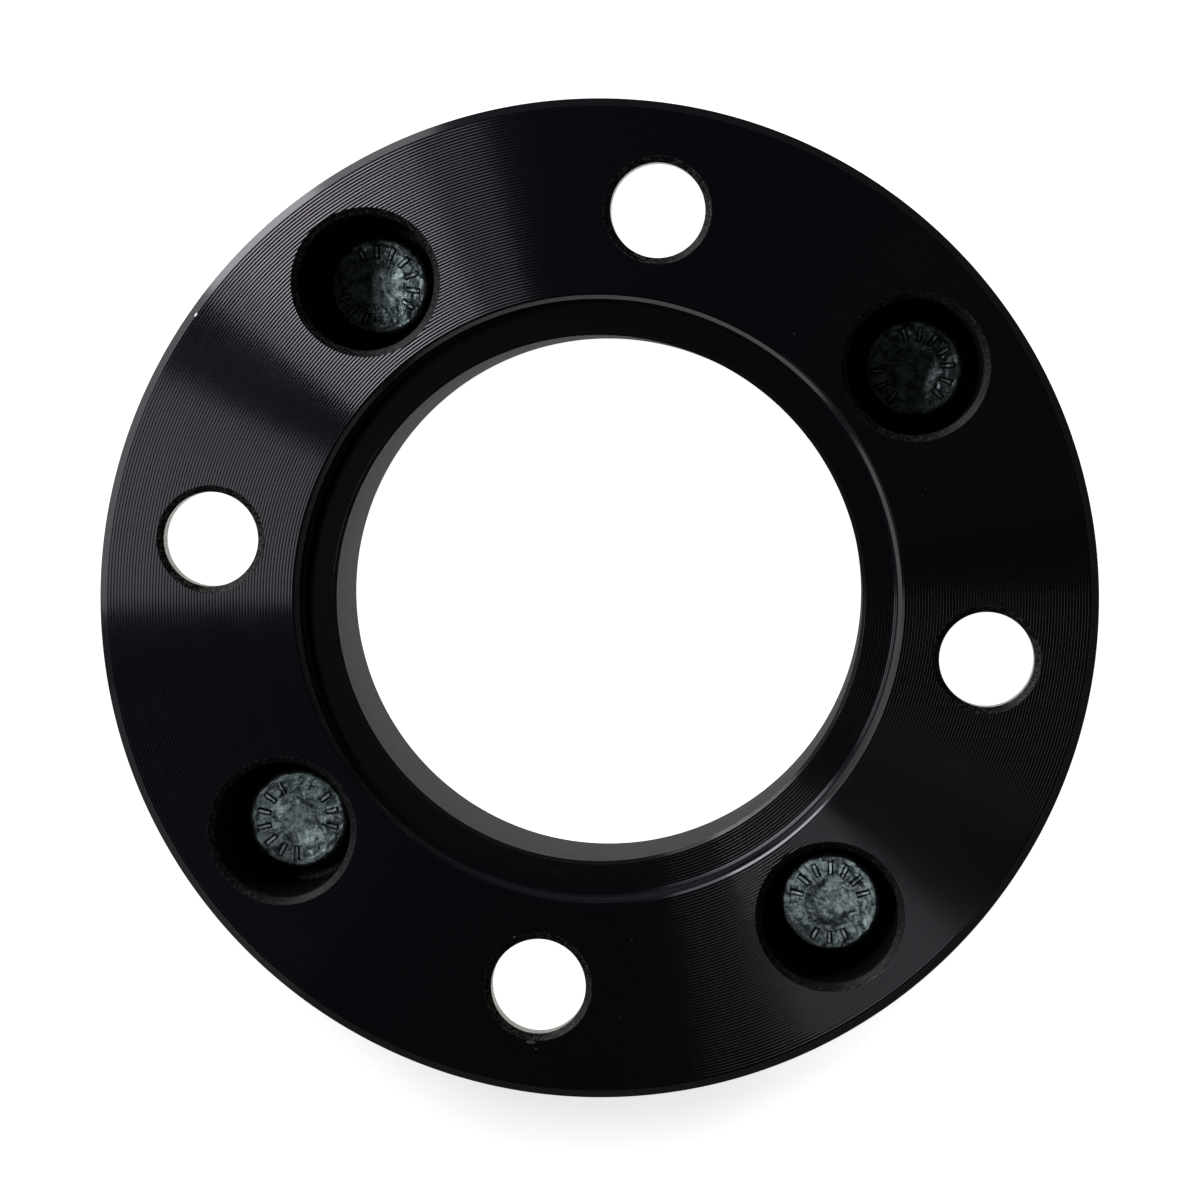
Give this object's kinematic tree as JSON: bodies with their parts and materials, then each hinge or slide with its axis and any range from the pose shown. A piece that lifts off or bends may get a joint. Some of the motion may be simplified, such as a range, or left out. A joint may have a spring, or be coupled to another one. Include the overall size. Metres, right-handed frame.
{
  "type": "wheel spacer",
  "caption": "Round bolt-on wheel spacer: a thick ring with a wide centre bore, bolt holes with conical nut seats, and press-in wheel studs on the same bolt circle.",
  "frame": {"origin": "centre of the hub face, on the axis of the bore", "axes": "+Z along the axis, out of the hub face towards the hub; +X through a hub bolt hole; the wheel studs point along -Z"},
  "size_m": [0.14, 0.14, 0.064],
  "materials": {
    "ring": "black anodised, fine turned",
    "stud": "dark phosphate"
  },
  "bodies": {
    "root": {"spacer_body": "ring", "wheel_stud_1": "stud", "wheel_stud_2": "stud", "wheel_stud_3": "stud", "wheel_stud_4": "stud"}
  },
  "joints": []
}
